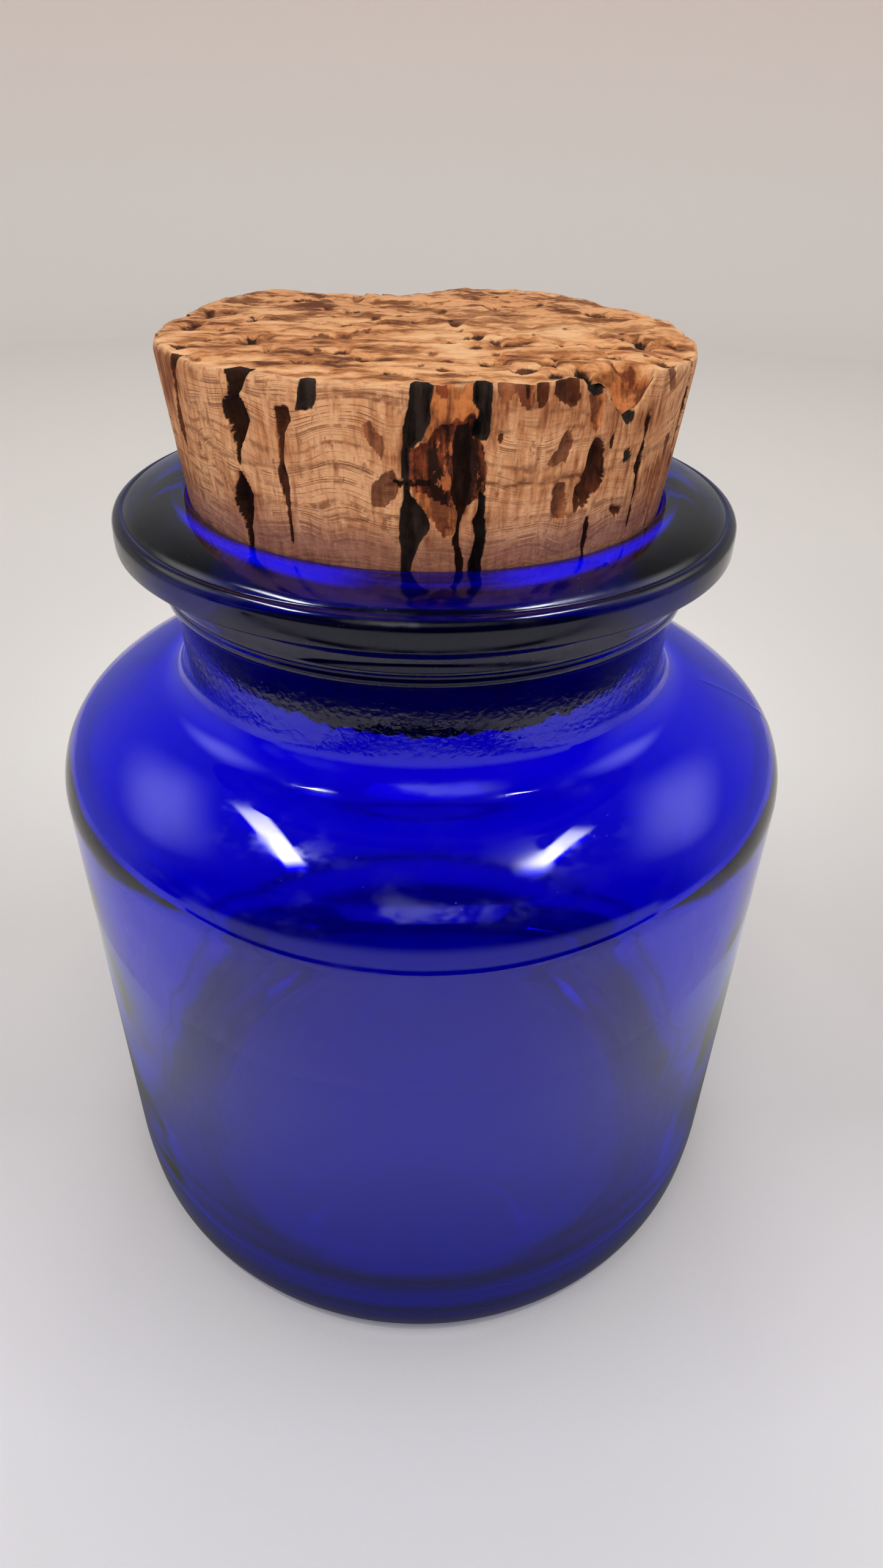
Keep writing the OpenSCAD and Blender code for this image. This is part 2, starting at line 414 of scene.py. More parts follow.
def make_lights():
    """Strips and panels that the glass mirrors, and lamps that only light what is matt."""
    for name, (near, far) in STRIPS.items():
        area_light("strip_" + name, far, near, STRIP_W, STRIP_RADIANCE, edge=0.4, far_end=0.1)
    for side, name, bright in ((-1, "left", 1.0), (1, "right", 0.4)):
        high, low = (SHOULDER + toward(e, side * PANEL_TURN) * PANEL_AWAY for e in PANEL_RISE)
        area_light("panel_" + name, high, low, PANEL_W, PANEL_RADIANCE, edge=0.9)
        area_light("side_" + name, toward(16, side * 30), toward(16, side * 88), 0.3, bright, shines=False)
    for name, (centre, half, width, radiance, aim) in MATT_LAMPS.items():
        end = Vector((half, 0, 0))
        lamp = area_light(name, centre + end, centre - end, width, radiance, shines=False, aim=aim)
        lamp.visible_transmission = name != "behind"
    make_world()
    bpy.context.scene.view_settings.view_transform = "Standard"


def make_world():
    """Even light for the floor and the cork, and for gloss a room that is dark above and in front."""
    world = bpy.data.worlds.new("world")
    world.use_nodes = True
    nodes = Nodes(world.node_tree)
    even = nodes.tree.nodes["Background"]
    even.inputs["Color"].default_value = EVEN_LIGHT
    parts = nodes.add("SeparateXYZ", {0: nodes.add("TexCoord").outputs["Generated"]})
    back = nodes.span(parts.outputs["Y"], -0.3, 0.1)
    low = nodes.span(parts.outputs["Z"], 0.1, 0.95, 0.42, 0.04)
    room = nodes.add("Background", {"Strength": nodes.times(back, low)})
    gloss = nodes.add("LightPath").outputs["Is Glossy Ray"]
    mix = nodes.add("MixShader", {0: gloss, 1: even.outputs[0], 2: room.outputs[0]})
    nodes.tree.links.new(mix.outputs[0], nodes.tree.nodes["World Output"].inputs["Surface"])
    bpy.context.scene.world = world


# ---- glass jar

GLASS_COLUMNS = 220
# Longest rows in the outline, at the foot and elsewhere, and the length that isn't split.
ROW_AT_FOOT = 0.9 * MM
ROW = 1.6 * MM
SHORT = 0.5 * MM
MOUTH_R = 29.1 * MM
MOUTH_EDGE = 2.0 * MM
FOOT_TUCK = 0.8 * MM

# The mould's seam: its angle, width and height off the glass, and the close columns that carry it.
SEAM = 84.0
SEAM_W = 0.7 * MM
SEAM_RISE = 0.035 * MM
SEAM_COLUMNS = 8
SEAM_STEP = 0.22

# Painted shade: dark lines in the wall's glass: half width, darkness and points (angle from the front,
# height).
SHADE_LINES = [
    (3.4, 0.7, [(28, 79), (38.5, 58), (50, 40), (64, 27), (80, 22)]),
    (4.5, 0.6, [(70, 76), (62, 69), (51, 60), (49, 54)]),
]
# A painted blue glow in a crescent round the cork, on the flange: its outer radius at each angle from the
# front.
CRESCENT = [(0, 34.6), (25, 33.4), (50, 31.9), (70, 31.0)]

# NEARLY_BLACK is painted shade for the glass's colour.
CLEAR = (1, 1, 1, 1)
NEARLY_BLACK = (0.03, 0.03, 0.05, 1)
# BLUE_GLOW is a painted glow; the glass is no lamp.
NO_GLOW = (0, 0, 0, 1)
BLUE_GLOW = (0, 0.002, 0.6, 1)
COBALT = {"Color": (0.33, 0, 0.992, 1), "Density": 1150}
GLASS_IOR = 1.52


def cad_profile(node):
    """The outline of a turned CAD node as (radius, height), from the axis below to the axis above."""
    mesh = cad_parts[node].data
    key = {}
    for v in mesh.vertices:
        if abs(v.co.y) < 1e-7 and v.co.x > -1e-7:
            key[v.index] = (round(max(v.co.x, 0.0), 6), round(v.co.z, 6))
    links = {}
    for e in mesh.edges:
        a, b = (key.get(i) for i in e.vertices)
        if a is not None and b is not None and a != b:
            links.setdefault(a, set()).add(b)
            links.setdefault(b, set()).add(a)
    here = min((p for p in links if p[0] == 0.0), key=lambda p: p[1])
    path = [here]
    while True:
        ahead = [p for p in links[here] if p not in path]
        if not ahead:
            return np.array(path)
        here = ahead[0]
        path.append(here)


def tangents(path, length, unit, corner):
    """The directions in which the outline leaves and reaches its points, smooth except at corners."""
    leave, arrive = unit.copy(), unit.copy()
    for i in range(1, len(path) - 1):
        turn = math.degrees(math.acos(np.clip(unit[i - 1] @ unit[i], -1, 1)))
        if turn < corner:
            weight = length[i] / (length[i - 1] + length[i])
            if not 0.2 < weight < 0.8:
                weight = round(1 - weight)
            middle = unit[i - 1] * weight + unit[i] * (1 - weight)
            leave[i] = arrive[i - 1] = middle / np.linalg.norm(middle)
    return leave, arrive


def refined(path, corner=24.0):
    """The same outline with smooth arcs between its points and its corners kept sharp."""
    step = np.diff(path, axis=0)
    length = np.linalg.norm(step, axis=1)
    leave, arrive = tangents(path, length, step / length[:, None], corner)
    points = []
    for i in range(len(step)):
        fine = ROW_AT_FOOT if path[i + 1][1] < 9 * MM else ROW
        count = max(2, math.ceil(length[i] / fine)) if length[i] >= SHORT else 1
        for t in np.arange(count) / count:
            h00, h10 = 2 * t**3 - 3 * t**2 + 1, t**3 - 2 * t**2 + t
            h01, h11 = -2 * t**3 + 3 * t**2, t**3 - t**2
            start = h00 * path[i] + h10 * length[i] * leave[i]
            points.append(start + h01 * path[i + 1] + h11 * length[i] * arrive[i])
    points.append(path[-1])
    return np.array(points)


def tight_mouth(path):
    """The same outline with a tighter turn from the top of the flange down into the mouth."""
    r, z = path[:, 0], path[:, 1]
    low = z.max() - MOUTH_EDGE
    edge = (z > low) & (r < MOUTH_R + MOUTH_EDGE)
    inward = np.clip((MOUTH_R + MOUTH_EDGE - r) / MOUTH_EDGE, 0, 1) ** 0.4
    upward = np.clip((z - low) / MOUTH_EDGE, 0, 1) ** 0.4
    tight = np.stack([MOUTH_R + MOUTH_EDGE * (1 - inward), low + MOUTH_EDGE * upward], -1)
    return np.where(edge[:, None], tight, path)


def glass_angles():
    """The columns' angles: even, with a few close together at the mould's seam."""
    even = np.arange(GLASS_COLUMNS) * 360.0 / GLASS_COLUMNS
    close = SEAM + SEAM_STEP * (np.arange(SEAM_COLUMNS + 1) - SEAM_COLUMNS / 2)
    return np.radians(np.unique(np.round(np.concatenate([even, close]), 3)))


def from_front(angle):
    """How many degrees each angle is from the front, on either side."""
    return abs(wrapped(angle))


def thick_glass(r, z, angle, outside):
    """How much painted shade darkens the glass at each place: flange, neck, heel, a ring low on the wall, the
    corner of the floor inside and dark lines in the wall.
    """
    r, z = r / MM, z / MM
    flange = 0.9 * smooth(112, 115, z) * smooth(32.2, 34.2, r)
    neck = 0.7 * smooth(97, 101, z) * smooth(118, 114, z)
    heel = 0.9 * smooth(17.5, 13.5, z) * smooth(36, 44, r)
    ring = 0.85 * np.exp(-(((z - 24) / 1.7) ** 2)) * (r > 45)
    near = from_front(angle)
    corner = np.exp(-(((r - 39.5) / 2.4) ** 2)) * (z < 20) * smooth(100, 40, near)
    dark_lines = np.zeros(r.shape)
    for half, dark, points in SHADE_LINES:
        away = line_distance(points, z, near, 50.0)
        dark_lines = np.maximum(dark_lines, dark * np.exp(-((away / half) ** 2)))
    return np.where(outside, np.maximum.reduce([flange, neck, heel, ring, dark_lines]), corner)


def lip_glow(r, z, angle, outside):
    """How strong the painted blue glow is in the crescent round the cork, on the flange's top, where the
    glass carries light.
    """
    r, z = r / MM, z / MM
    near = from_front(angle)
    edge = np.interp(near, *zip(*CRESCENT))
    inside = smooth(edge + 0.3, edge - 0.5, r) * (z > 118.5)
    return np.where(outside, inside * smooth(7, 20, near) * smooth(85, 60, near), 0.0)


def jar_outline():
    """The jar's outline with its foot tucked in, and the number of its highest point."""
    path = tight_mouth(refined(cad_profile("glass_jar")))
    top = path[:, 1].argmax()
    under = np.arange(len(path)) < top
    tuck = smooth(20 * MM, 6 * MM, path[:, 1]) * smooth(30 * MM, 38 * MM, path[:, 0])
    path[:, 0] -= np.where(under, FOOT_TUCK * tuck, 0.0)
    return path, top


def uneven(path, r, z, a, outside):
    """Radius and height with the glass a little uneven, more so inside, and with the mould's seam."""
    slope = np.gradient(path, axis=0)[1:-1]
    slope /= np.linalg.norm(slope, axis=1)[:, None]
    at = around(r, z, a)
    push = np.where(outside, 0.02 * MM * noise(at, 30 * MM, 3), 0.1 * MM * noise(at, 40 * MM, 5))
    off = wrapped(np.degrees(a) - SEAM)
    ridge = SEAM_RISE * np.exp(-((np.radians(off) * r / (SEAM_W / 2)) ** 2))
    push = push + np.where(outside & (z > 12 * MM) & (z < 95 * MM), ridge, 0.0)
    push = push * smooth(0.0, 6 * MM, r)
    return r + push * slope[:, 1:2], z - push * slope[:, 0:1]


def make_glass():
    """The jar: its outline turned about the axis, closed at both ends on the axis."""
    path, top = jar_outline()
    angles = glass_angles()
    n, rows = len(angles), len(path) - 2
    r, z = (np.repeat(path[1:-1, part], n).reshape(rows, n) for part in (0, 1))
    a = np.broadcast_to(angles, r.shape)
    outside = np.broadcast_to((np.arange(1, rows + 1) <= top)[:, None], r.shape)
    r, z = uneven(path, r, z, a, outside)

    ends = [(0.0, 0.0, path[0, 1]), (0.0, 0.0, path[-1, 1])]
    verts = np.concatenate([around(r, z, a).reshape(-1, 3), ends])
    low, high, last = rows * n, rows * n + 1, (rows - 1) * n
    faces = ring_faces(rows, n)
    faces += [(low, (j + 1) % n, j) for j in range(n)]
    faces += [(high, last + j, last + (j + 1) % n) for j in range(n)]
    jar = make_object("jar_glass", verts, faces)
    # Masks for the glass's painted shade and its painted glow.
    for name, mask in (("thick", thick_glass), ("glow", lip_glow)):
        values = mask(r, z, np.degrees(a), outside)
        set_attribute(jar, name, np.append(values.ravel(), (0.0, 0.0)))
    jar.data.materials.append(glass_material())
    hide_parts("glass_jar")
    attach(jar, "jar")
    return jar


def glass_bump(s, place, height):
    """Orange peel on the neck, over slow waves everywhere."""
    neck = s.times(s.span(height, 0.098, 0.101), s.span(height, 0.11, 0.108))
    peel = s.times(s.noise(place, 1300, 2), neck)
    return s.bump(s.noise(place, 60, 1), 0.0002, s.bump(peel, 0.00005))


def glass_roughness(s, place, height):
    """Smears and dust, a softer flange, a ground foot, and a brushed look on the shoulder."""
    smear, dust = s.noise(place, 45, 4), s.noise(place, 2600, 1)
    brushed = s.span(s.noise(s.where((1, 1, 2.5)), 130, 6, 0.65), 0.44, 0.62, 0, 0.13)
    layers = [
        s.span(dust, 0.78, 0.84, 0, 0.35),
        s.times(s.mask("thick"), s.span(height, 0.1135, 0.115, 0, 0.1)),
        s.span(height, 0.005, 0.0036, 0, 0.4),
        s.times(brushed, s.span(height, 0.078, 0.084)),
    ]
    roughness = s.span(smear, 0.45, 0.8, 0.012, 0.05)
    for layer in layers:
        roughness = s.plus(roughness, layer)
    return roughness


def glass_material():
    """Cobalt glass: clear at its surface and coloured by its volume, with painted shade that darkens some
    places and a painted blue glow round the cork.
    """
    s = Shader("cobalt_glass")
    place = s.where()
    height = s.part(place, "Z")
    inputs = {
        # Painted shade: the glass's colour goes nearly black where the mask is high.
        "Base Color": s.mix(s.mask("thick"), CLEAR, NEARLY_BLACK),
        "Roughness": glass_roughness(s, place, height),
        "Transmission Weight": 1.0,
        "IOR": GLASS_IOR,
        "Normal": glass_bump(s, place, height),
        # A painted blue glow in the crescent round the cork.
        "Emission Color": s.mix(s.mask("glow"), NO_GLOW, BLUE_GLOW),
        "Emission Strength": 1.0,
    }
    absorb = s.add("VolumeAbsorption", COBALT)
    s.tree.links.new(absorb.outputs[0], s.out.inputs["Volume"])
    return s.finish(s.add("BsdfPrincipled", inputs))


# ---- cork

# Height of the rim of the cork's top above its lower end, round the cork.
RIM = [
    (-167, 37.2), (-153, 37.9), (-139, 38.9), (-125, 38.9), (-111, 38.3), (-97, 38.1), (-80, 38.2),
    (-64, 38.9), (-48, 38.7), (-32, 39.3), (-8, 39.3), (0, 39.45), (24, 39.4), (40, 39), (56, 38.4),
    (80, 38), (95, 37.9), (105, 38.4), (116, 38.1), (130, 38.2), (144, 38.7), (155, 38.6), (165, 38.4),
    (179, 37.7),
]

# Pores that open on the side, by kind. Each is a depth and stations from the top
# down: (height, angle of its left edge, angle of its right edge).
PORES = {
    "dark": [
        (1.5, [(39.8, -39, -32), (38.3, -38.5, -34), (37, -38.5, -36), (36.2, -40.5, -35), (34.6, -41, -34.3),
         (33, -40, -36), (31.5, -39.6, -38), (29.4, -39.5, -38.6)]),
        (1.5, [(29.2, -39.8, -38.4), (27, -41.6, -36.6), (25.5, -42.5, -36.8), (24.4, -42, -37.4),
         (23.4, -40.8, -38.6), (21.2, -40.4, -39.2), (12, -40.2, -39.4)]),
        (1, [(36, 5.2, 7.4), (34, 4.6, 8), (31, 5, 8.2), (29.6, 4.4, 8), (27.6, 5.6, 7.2), (25.8, 5.4, 6.6),
         (24, 5.2, 7), (21.4, 6.2, 7.2), (16, 6.4, 7)]),
        (0.5, [(30.6, -6, 1), (29.9, -5, 1)]),
        (0.9, [(25.4, 34, 35), (24, 33.8, 35.3), (22.4, 34.4, 35.4), (21, 34.9, 35.5), (17, 35, 35.4)]),
        (0.9, [(34.9, 47, 47.8), (33.8, 46.8, 48.4), (32.4, 47.6, 48.4), (30.8, 47.2, 48.8),
         (29.4, 46.3, 49.6), (28.3, 47.4, 48.8), (25.6, 47.8, 48.6), (24, 47.8, 49), (22.4, 48.2, 48.8)]),
    ],
    "brown": [
        (0.8, [(36.6, -28, -25), (35.4, -28.4, -25), (34.2, -28, -26.4), (31.2, -28.2, -27.2),
         (29.8, -29.2, -27), (28, -29, -27.2), (26.2, -28.4, -27.6), (22.2, -28.2, -27.8)]),
        (0.5, [(39.2, -57.5, -53.5), (37.5, -57.8, -55.5), (35, -59.2, -57), (31.5, -60.8, -58.6),
         (28.8, -60.4, -59.4)]),
        (0.25, [(39.6, 17.2, 17.7), (37.8, 17.3, 17.6)]),
        (0.45, [(39.8, 19, 21.6), (38, 19.2, 21.4), (37.2, 19.8, 20.6)]),
        (0.7, [(39.8, 22, 27.6), (38.4, 22.2, 27.4), (37.6, 24, 27.6), (36.9, 25.8, 27)]),
        (0.6, [(35.3, 12.8, 13.6), (34.7, 12.2, 14.2), (33.9, 12.8, 13.6)]),
        (1.3, [(33.4, 32.8, 34.6), (32, 32, 36), (30.4, 32, 36.6), (29.2, 31, 37.4), (28.4, 30, 36.4),
         (27.4, 31.6, 35), (26.4, 32.4, 33.8)]),
        (0.8, [(29, 29.8, 31.6), (27.6, 30, 31.6), (26, 30.4, 31.4)]),
        (0.5, [(34, 37, 37.6), (33, 36.8, 38), (32, 37.2, 37.8)]),
        (0.6, [(25.9, 40.4, 41.6), (25.1, 40.8, 45), (24.4, 43, 45.6)]),
    ],
    "char": [
        (0.7, [(39.8, -22, -19), (38.4, -22.6, -19), (37.2, -23, -19.6), (36.4, -24, -21.6)]),
        (1.2, [(39.9, -2.4, 1), (38, -3, 0.6), (36, -4.2, 0.3), (34.6, -4.2, -0.6), (33.4, -4.3, -3),
         (30.8, -4.4, -3.2), (29.2, -4.6, -2.6), (27.4, -4.8, -0.4), (25.8, -5, 1), (25, -5, 0.2),
         (23.6, -5, -1.6), (21, -5.2, -3), (10, -5, -3.4)]),
        (1.2, [(39.9, 8, 11), (38, 8, 11), (37.2, 9, 11.3), (35.6, 8.2, 11.3), (34.5, 8, 10.8)]),
        (1.2, [(29, 10.2, 11), (27.2, 9.6, 11.4), (26.4, 8.6, 11.8), (25, 9.4, 11.8), (23, 9, 11.8),
         (21, 8.6, 11.4), (14, 9.4, 11)]),
        (1.2, [(38.8, 29.4, 33.4), (38.3, 29.2, 33.8), (37.9, 31, 33)]),
        (0.9, [(38.4, 33.4, 36), (37.6, 34, 38), (36.6, 36, 41), (35.6, 38, 42.6), (34.7, 40, 42.4),
         (34.2, 40.8, 41.6)]),
        (0.1, [(31.6, 41.2, 42.8), (30.8, 41.4, 43.8), (30.3, 42, 43)]),
    ],
    "fibre": [
        (0.25, [(39.9, 0.8, 8.2), (37.4, 0.4, 9), (35.6, 0, 9), (34.4, 0, 6)]),
        (0.35, [(30.4, -4, 4), (29, -3.2, 8), (27.6, -1, 8), (26.4, 1.6, 6.4), (25, 3.6, 6)]),
        (0.15, [(39.8, 15.6, 18.8), (37.6, 16, 18.6), (37, 17, 18)]),
        (0.3, [(38, 29.6, 33), (36.8, 30.4, 34.6), (35.6, 31.6, 34), (35, 32.6, 33.4)]),
    ],
    "bark": [
        (0.65, [(36.8, 4, 8.4), (35.8, 2.4, 9.4), (34.4, -0.6, 9.6), (33.4, -3.6, 10.2), (31, -4, 10.8),
         (29.6, -3, 11), (28.8, 0, 9), (28, 4, 7.6)]),
        (0.3, [(39.9, 3, 3.9), (38, 3.1, 3.7), (36.8, 3.4, 3.7)]),
        (0.3, [(39.9, 5.4, 6.2), (38.4, 6, 6.6), (37, 6.2, 6.8)]),
    ],
    "stain": [
        (0.12, [(36, -11.4, -9.6), (34.6, -11, -7), (33, -9, -7.2), (32.4, -8.2, -7.6)]),
        (0.25, [(31.2, -8, -6), (30.2, -9.6, -4.6), (29.2, -9.8, -5), (28.2, -9, -8)]),
        (0.3, [(39.8, 12.6, 15.4), (37.8, 13, 14.8)]),
        (0.1, [(38.4, 51.6, 54.4), (37, 53, 55.6), (36.4, 54.4, 56)]),
        (0.3, [(29.9, 12.4, 13.8), (29, 12, 14.4), (28.5, 13, 13.6)]),
        (0.4, [(34.8, 26, 27), (33.4, 24.6, 27.4), (31.8, 24, 26.6)]),
        (0.4, [(29.2, 25, 27.4), (27.8, 24.8, 28.6), (26, 26, 29)]),
        (0.3, [(29.4, 55.8, 56.8), (26, 55.4, 57.2), (22, 56, 57)]),
        (0.3, [(31, 58.4, 59.8), (26.6, 58.2, 60.4), (21, 58, 60)]),
    ],
}

# Growth lines and cracks on the side: half width, depth, darkness and the points
# (angle, height) that they run through.
LINES = [
    (0.16, 0.35, 1, [(-7.4, 30), (-5.2, 30.1), (-3.8, 30.4), (-1.5, 30.3), (1, 30.5)]),
    (0.1, 0.12, 0.7, [(-17, 30), (-14, 29.8), (-10, 29.9)]),
    (0.16, 0.25, 0.9, [(10.4, 30.3), (12, 30), (20, 29.8), (26, 29.85), (31, 30)]),
    (0.1, 0.1, 0.7, [(19, 30), (22, 30.25), (30, 30.15)]),
    (0.1, 0.1, 0.6, [(12.4, 36.9), (16, 37.2), (19.6, 37.3)]),
    (0.1, 0.1, 0.6, [(21, 36.8), (26, 36.8), (29.6, 36.3), (32.6, 35)]),
    (0.1, 0.08, 0.6, [(12, 35.2), (20, 35.2), (26, 35.1), (31, 34.8)]),
    (0.09, 0.08, 0.5, [(13, 31.2), (18, 31.6), (26, 31.4)]),
    (0.09, 0.08, 0.5, [(15, 31), (20, 31.3), (25, 31.1)]),
    (0.12, 0.08, 0.6, [(-19, 38.4), (-17, 38.8), (-13, 38.6), (-9, 38.7), (-4.2, 37.9)]),
    (0.1, 0.08, 0.5, [(-18, 38), (-12, 38.4), (-7, 37.9), (-4, 36.9)]),
    (0.22, 0.08, 0.6, [(-59, 31.7), (-52, 31.8), (-47, 30.9), (-43, 30.4), (-40, 30.2)]),
    (0.12, 0.08, 0.5, [(-55, 34.1), (-50, 34.1), (-46.5, 33.4), (-43, 32.4)]),
    (0.12, 0.08, 0.6, [(-60, 28.5), (-53, 28.9), (-47.5, 28.7), (-44.5, 27.9), (-42.5, 26.7)]),
    (0.22, 0.06, 0.5, [(-38, 30.3), (-34, 30.5), (-31.5, 30.6), (-28.5, 30.3)]),
    (0.2, 0.06, 0.5, [(-26.6, 30.7), (-23, 31.1), (-19, 31.6), (-14, 31.7), (-10.6, 31.2)]),
    (0.1, 0.05, 0.5, [(-36.5, 26.9), (-33, 27.2), (-30, 27)]),
    (0.12, 0.15, 0.7, [(-20, 26.3), (-15, 26.2), (-11, 26.3)]),
    (0.25, 0.08, 0.4, [(41, 30.3), (47, 30.6), (55, 30.4), (62, 30.6)]),
    (0.12, 0.06, 0.4, [(50, 28.3), (54, 28.6), (58, 28.2)]),
]

# Pits in the cork's top by kind: place (x, y), half size (x, y) and depth.
PITS = {
    "dark": [
        (-19.2, -8.6, 1, 3.2, 1.3), (-20.6, 4.8, 1, 2, 0.9), (8.5, -4.6, 0.9, 1.1, 0.9),
        (14.8, -8.8, 1.4, 2.6, 1.2), (23.6, -5.4, 1.1, 3.4, 1.4), (12, -19.8, 0.9, 1.8, 1),
        (12.4, -25.4, 0.9, 1.2, 0.7), (15.4, -22.6, 1.2, 2.4, 1.3), (16.4, -26, 2.3, 1.8, 1.7),
    ],
    "char": [(-16.4, -13.6, 0.8, 2, 1), (-9.2, 10.4, 1.6, 2.2, 0.7)],
    "brown": [
        (-27.2, 0.2, 1.6, 2.8, 0.9), (-23.2, -1.4, 1.2, 1.2, 0.7), (-23.6, -7.8, 0.6, 1.8, 0.6),
        (-25.8, -13, 1, 1.4, 0.6), (-9, -15.4, 1.4, 1.6, 0.7), (-6.4, -18.2, 1.2, 1.5, 0.8),
        (-3.4, -24.6, 2, 1.6, 0.9), (3.3, 2.4, 0.9, 2.4, 0.6), (3.2, -2, 1.3, 1.8, 0.6),
        (4.8, -6.4, 1.3, 1.4, 0.8), (7.4, -6.8, 1.1, 1.6, 0.8), (5.2, -10, 1.4, 1.5, 0.6),
        (8.8, -9.4, 1.5, 1.2, 0.5), (6.5, -18.9, 1.5, 1.2, 1), (19, -9.8, 2.2, 1.8, 1),
        (19.2, -14.2, 1.2, 2.2, 0.9), (19.8, 0.2, 1, 2.4, 0.9), (27.6, -4.8, 1.2, 1.8, 0.6),
        (14, -16.6, 2.8, 1.7, 0.8), (24, -16.4, 1.6, 1.6, 0.7), (24.8, -13.2, 1, 1.2, 0.6),
        (9.2, -23.2, 1.4, 1.6, 0.7), (5.8, -27.2, 0.7, 0.9, 0.6), (-16, 17.2, 1.6, 2.4, 0.8),
        (-22, 7.4, 0.5, 2.2, 0.6), (-26.6, 9, 1, 2.4, 0.7), (21.6, 12.6, 1.8, 2.4, 0.8),
        (24.8, 19.6, 1, 2.6, 0.8), (26.6, -17.6, 1.2, 1, 0.6), (-17, -4, 1.4, 1, 0.6),
    ],
    "stain": [
        (-10.4, -6.2, 2.6, 2.2, 0.6), (-22.8, -18.8, 0.8, 1, 0.4), (-12.6, -20.2, 0.5, 1.2, 0.4),
        (-2.8, -11.8, 1.4, 0.9, 0.3), (2, -19, 0.9, 0.9, 0.4), (1.9, -22.9, 1.2, 0.7, 0.4),
        (2, -9, 1.6, 1.2, 0.5), (7.1, -14.6, 0.9, 1.4, 0.7), (12.2, 2.6, 0.8, 1.6, 0.5),
        (-12.4, 12.2, 0.8, 1.8, 0.6), (-12.6, 2.4, 1.2, 1, 0.4), (-5, 1.4, 1.2, 1.2, 0.4),
        (8.4, 14.4, 1.2, 2.6, 0.6), (1.6, 12.6, 1.2, 2.8, 0.6),
    ],
    "fibre": [(20.2, -22.6, 2.4, 4.6, 2.4)],
}

# The crumbled corner: how low the rim falls at each angle, and how far in it reaches.
CORNER = [
    (26, 39.9), (28.2, 39.5), (29.2, 38.9), (31, 38.4), (33, 38.5), (34.5, 37.6), (36.6, 37), (38.6, 35.6),
    (40.4, 34.7), (41.6, 34.8), (43, 35.8), (45, 37.4), (47.5, 38.4), (50, 39), (54, 39.9),
]
CORNER_REACH = 0.16

# The cork's lower end above the floor, its length and its diameters, as in the CAD.
CORK_Z = 100.0
CORK_L = 39.5
CORK_LOW_D = 53.4
CORK_TOP_D = 62.2
# The top is a grid of CORK_SIDES cells a side, and its edge sets the number of columns.
CORK_SIDES = 176
CORK_COLUMNS = 4 * CORK_SIDES
# Rows below and above the height at which they get finer, and rings in the lower end.
CORK_SPLIT = 20.0
ROWS_LOW = 20
ROWS_HIGH = 58
END_RINGS = 12
# How far the columns crowd toward the front, in degrees.
CROWDING = 20.0
# Kinds of mark, how deep each is cut in the invented pores at the back, and how ragged the torn ones are.
KINDS = ("stain", "fibre", "bark", "brown", "dark", "char", "line")
BACK_DEPTH = {"dark": 1.3, "char": 0.8, "brown": 0.8, "stain": 0.3}
RAGGED = {"stain": 2.4, "fibre": 2.6, "bark": 3.2}


def listed(table):
    """A table of marks by kind as one list, with the kind at the end of each mark."""
    return [(*mark, kind) for kind, marks in table.items() for mark in marks]


def cork_r(h):
    """The cork's radius at a height above its lower end."""
    return (CORK_LOW_D + (CORK_TOP_D - CORK_LOW_D) * h / CORK_L) / 2


def round_table(table, angle):
    """The value at each angle of a table of (angle, value) that goes all the way round."""
    angles, values = zip(*table)
    return np.interp(angle, angles, values, period=360)


def back_pores(seed=8):
    """Invented pores for the part of the side that the photo does not show."""
    rng = np.random.default_rng(seed)
    pores = []
    for middle in np.arange(68, 292, 8.5):
        middle = middle + rng.uniform(-3, 3)
        top = rng.choice([40.0, rng.uniform(14, 36)])
        length = rng.uniform(4, 17)
        widest = rng.uniform(0.8, 2.6)
        stations = []
        for part in np.linspace(0, 1, 6):
            half = widest * (0.25 + math.sin(math.pi * part) * rng.uniform(0.35, 1.0))
            at = middle + rng.uniform(-0.5, 0.5)
            stations.append((top - part * length, at - half, at + half))
        kind = rng.choice(["dark", "brown", "brown", "stain", "char"])
        pores.append((BACK_DEPTH[kind], stations, kind))
    return pores


def low_pores(seed=21):
    """Invented pores for the lower half of the side, which is hidden in the mouth."""
    rng = np.random.default_rng(seed)
    pores = []
    for middle in np.arange(-175, 180, 14.0):
        middle = middle + rng.uniform(-5, 5)
        top = rng.uniform(8, 18)
        half = rng.uniform(0.6, 2.2)
        stations = [(top, middle - 0.3, middle + 0.3), (top - 3, middle - half, middle + half * 0.7)]
        stations += [(top - 6, middle - half * 0.4, middle + half), (max(top - 9, -1), middle, middle + 0.4)]
        pores.append((0.8, stations, rng.choice(["dark", "brown"])))
    return pores


def pore_distance(stations, h, angle, edge):
    """How far inside a pore each place is, in mm, with edge added to make it ragged."""
    heights, lefts, rights = (np.array(part[::-1]) for part in zip(*stations))
    left, right = np.interp(h, heights, lefts), np.interp(h, heights, rights)
    middle = (lefts[0] + rights[0]) / 2
    near = wrapped(angle - middle) + middle
    across = np.minimum(near - left, right - near) * math.radians(1) * cork_r(h)
    along = np.minimum(heights[-1] - h, h - heights[0])
    return np.minimum(across, along) + edge


def line_distance(points, h, angle, r=31.0):
    """How far each place on the side is from a line through the points, in mm."""
    best = np.full(h.shape, 99.0)
    for (a0, h0), (a1, h1) in zip(points, points[1:]):
        scale = math.radians(1) * r
        run, rise = (a1 - a0) * scale, h1 - h0
        x, y = (angle - a0) * scale, h - h0
        t = np.clip((x * run + y * rise) / (run * run + rise * rise), 0, 1)
        best = np.minimum(best, np.hypot(x - t * run, y - t * rise))
    return best


